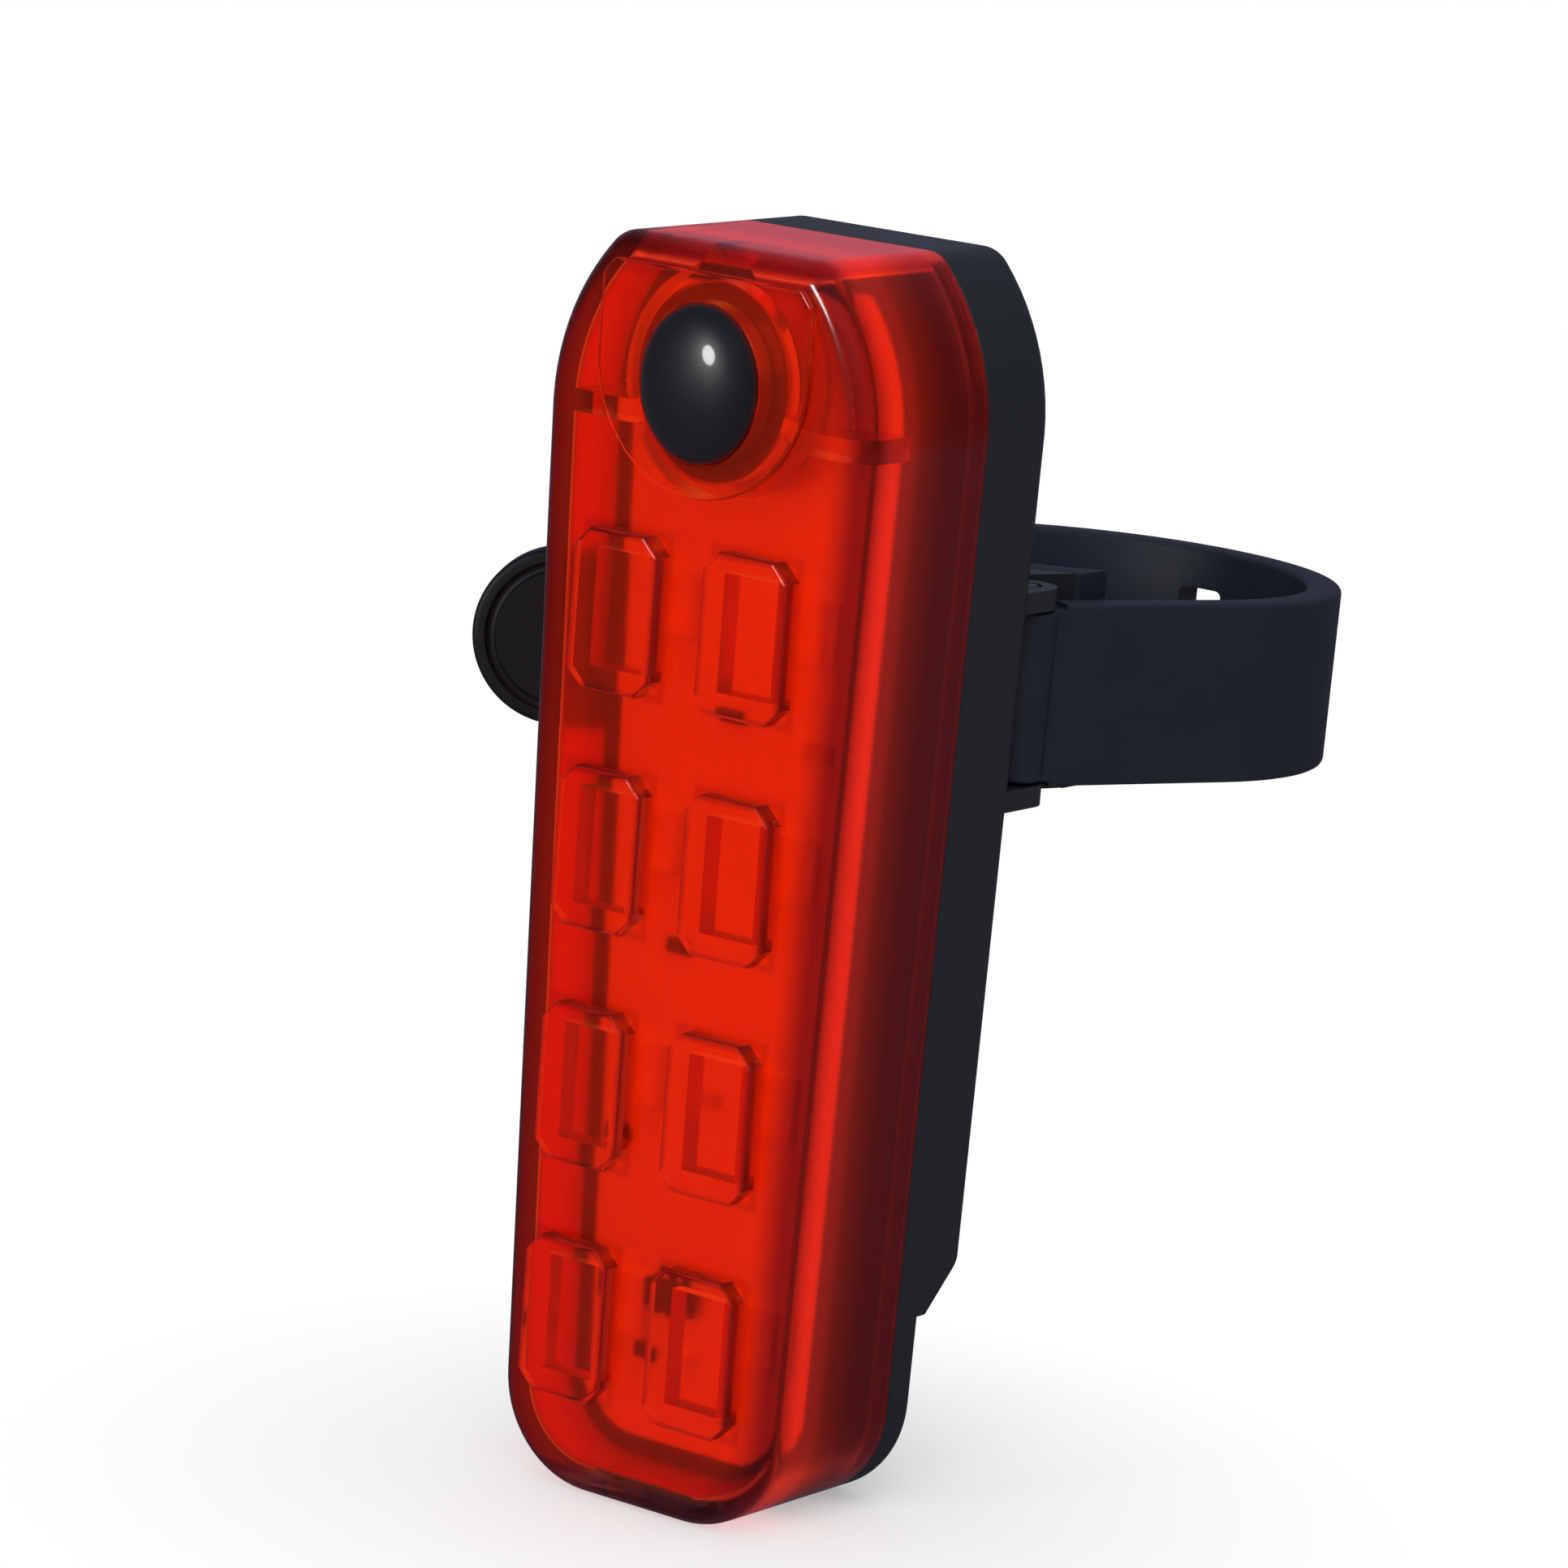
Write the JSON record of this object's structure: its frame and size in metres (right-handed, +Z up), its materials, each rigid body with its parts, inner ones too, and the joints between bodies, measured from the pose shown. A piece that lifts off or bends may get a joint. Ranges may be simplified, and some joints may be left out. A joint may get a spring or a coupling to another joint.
{
  "type": "bicycle rear light",
  "caption": "Slim red rear light for a bicycle: clear ribbed lens over lit windows, rubber button, charging port with cover, and a hooked rubber strap for the seat post.",
  "frame": {"origin": "on the axis of the seat post, at the middle height of the strap", "axes": "+Z up along the seat post and the light's length, +Y from the lens towards the post, +X to the right as the lens is seen from behind the bicycle"},
  "size_m": [0.0386, 0.0539, 0.07],
  "materials": {
    "red_lens": "clear polished",
    "black_housing": "satin moulded",
    "strap_rubber": "matt moulded silicone",
    "button_rubber": "smooth moulded",
    "board_white": "white solder mask",
    "emitter_white": "moulded resin",
    "chip_black": "moulded resin",
    "switch_cream": "moulded",
    "contact_brass": "rolled",
    "socket_steel": "plated sheet",
    "pin_steel": "drawn",
    "cell_foil": "laminated foil",
    "tape_foam": "foam",
    "guard_tape": "taped board",
    "lead_red": "insulated wire",
    "lead_black": "insulated wire"
  },
  "bodies": {
    "body": {"lens_cover": "red_lens", "switch_body": "switch_cream", "switch_snap_dome": "contact_brass", "circuit_board": "board_white", "led_packages": "emitter_white", "board_resistors": "chip_black", "driver_chip": "chip_black", "charger_chip": "chip_black", "charge_indicator": "emitter_white", "socket_shell": "socket_steel", "socket_tongue": "chip_black", "battery_cell": "cell_foil", "battery_tape": "tape_foam", "guard_board": "guard_tape", "battery_lead_red": "lead_red", "battery_lead_black": "lead_black", "rear_housing": "black_housing", "seal_ring": "button_rubber", "saddle_pad": "strap_rubber", "strap_pin": "pin_steel", "cover_anchor": "button_rubber"},
    "button": {"button_cap": "button_rubber"},
    "plunger": {"switch_plunger": "chip_black"},
    "strap_right": {"strap_fixed_half": "strap_rubber"},
    "strap_left": {"strap_left_arc": "strap_rubber"},
    "strap_hook_end": {"strap_end": "strap_rubber"},
    "cover": {"port_cover": "button_rubber"}
  },
  "joints": [
    {"name": "button_press", "type": "slide", "parent": "body", "child": "button", "axis": [0, 1, 0], "range_m": [0, 0.0004], "stiffness_N_per_m": 2500, "springref_m": -0.0001},
    {"name": "plunger_press", "type": "slide", "parent": "body", "child": "plunger", "axis": [0, 1, 0], "range_m": [0, 0.0004]},
    {"name": "strap_root_turn", "type": "hinge", "parent": "body", "child": "strap_right", "pos_m": [0.0086, -0.018, 0], "axis": [0, 0, -1], "range_deg": [0, 15]},
    {"name": "strap_back_bend", "type": "hinge", "parent": "strap_right", "child": "strap_left", "pos_m": [0, 0.0149, 0], "axis": [0, 0, -1], "range_deg": [0, 25]},
    {"name": "strap_unhook", "type": "hinge", "parent": "strap_left", "child": "strap_hook_end", "pos_m": [-0.01371, -0.00583, 0], "axis": [0, 0, -1], "range_deg": [0, 100]},
    {"name": "port_cover_open", "type": "hinge", "parent": "body", "child": "cover", "pos_m": [-0.0056, -0.023, -0.0403], "axis": [0, 0, 1], "range_deg": [0, 120]}
  ],
  "couplings": [
    {"joint": "plunger_press", "follows": "button_press", "ratio": 1},
    {"joint": "strap_root_turn", "follows": "strap_unhook", "ratio": 0.15},
    {"joint": "strap_back_bend", "follows": "strap_unhook", "ratio": 0.25}
  ]
}
